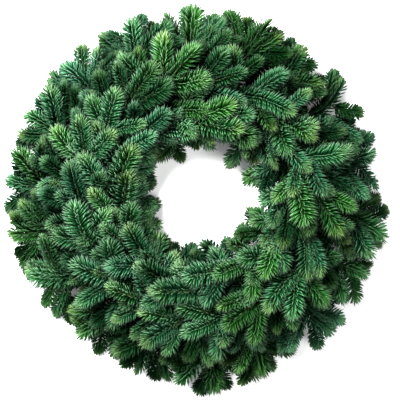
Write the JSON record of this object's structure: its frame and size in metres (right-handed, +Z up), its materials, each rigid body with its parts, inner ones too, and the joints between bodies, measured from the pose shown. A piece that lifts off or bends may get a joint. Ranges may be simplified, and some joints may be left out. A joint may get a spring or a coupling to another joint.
{
  "type": "evergreen wreath",
  "caption": "Round wreath of fresh noble fir sprays wired clockwise in overlapping bundles to a crimped wire ring, with an open centre; it lies on its flat back.",
  "frame": {"origin": "on the surface the wreath lies on, at the middle of its outline", "axes": "+Z up through the open centre, away from the flat back; +Y to the top of the wreath as it would hang; the sprays sweep clockwise seen from +Z"},
  "size_m": [0.6079, 0.6089, 0.1193],
  "materials": {
    "fir_foliage": "living noble fir: dense matte blue-green needles with yellow-green young tips on grey-brown twigs",
    "ring_wire": "dark green varnish on crimped steel wire",
    "binding_wire": "green lacquer on soft florist's wire"
  },
  "bodies": {
    "root": {"wire_ring": "ring_wire", "binding_wire": "binding_wire", "outer_spray_01": "fir_foliage", "outer_spray_02": "fir_foliage", "outer_spray_03": "fir_foliage", "outer_spray_04": "fir_foliage", "outer_spray_05": "fir_foliage", "outer_spray_06": "fir_foliage", "outer_spray_07": "fir_foliage", "outer_spray_08": "fir_foliage", "outer_spray_09": "fir_foliage", "outer_spray_10": "fir_foliage", "outer_spray_11": "fir_foliage", "outer_spray_12": "fir_foliage", "outer_spray_13": "fir_foliage", "outer_spray_14": "fir_foliage", "outer_spray_15": "fir_foliage", "outer_spray_16": "fir_foliage", "outer_spray_17": "fir_foliage", "outer_spray_18": "fir_foliage", "inner_spray_01": "fir_foliage", "inner_spray_02": "fir_foliage", "inner_spray_03": "fir_foliage", "inner_spray_04": "fir_foliage", "inner_spray_05": "fir_foliage", "inner_spray_06": "fir_foliage", "inner_spray_07": "fir_foliage", "inner_spray_08": "fir_foliage", "inner_spray_09": "fir_foliage", "inner_spray_10": "fir_foliage", "inner_spray_11": "fir_foliage", "inner_spray_12": "fir_foliage", "inner_spray_13": "fir_foliage", "inner_spray_14": "fir_foliage", "inner_spray_15": "fir_foliage", "inner_spray_16": "fir_foliage", "inner_spray_17": "fir_foliage", "inner_spray_18": "fir_foliage", "crown_spray_01": "fir_foliage", "crown_spray_02": "fir_foliage", "crown_spray_03": "fir_foliage", "crown_spray_04": "fir_foliage", "crown_spray_05": "fir_foliage", "crown_spray_06": "fir_foliage", "crown_spray_07": "fir_foliage", "crown_spray_08": "fir_foliage", "crown_spray_09": "fir_foliage", "crown_spray_10": "fir_foliage", "crown_spray_11": "fir_foliage", "crown_spray_12": "fir_foliage", "crown_spray_13": "fir_foliage", "crown_spray_14": "fir_foliage", "crown_spray_15": "fir_foliage", "crown_spray_16": "fir_foliage", "crown_spray_17": "fir_foliage", "crown_spray_18": "fir_foliage"}
  },
  "joints": []
}
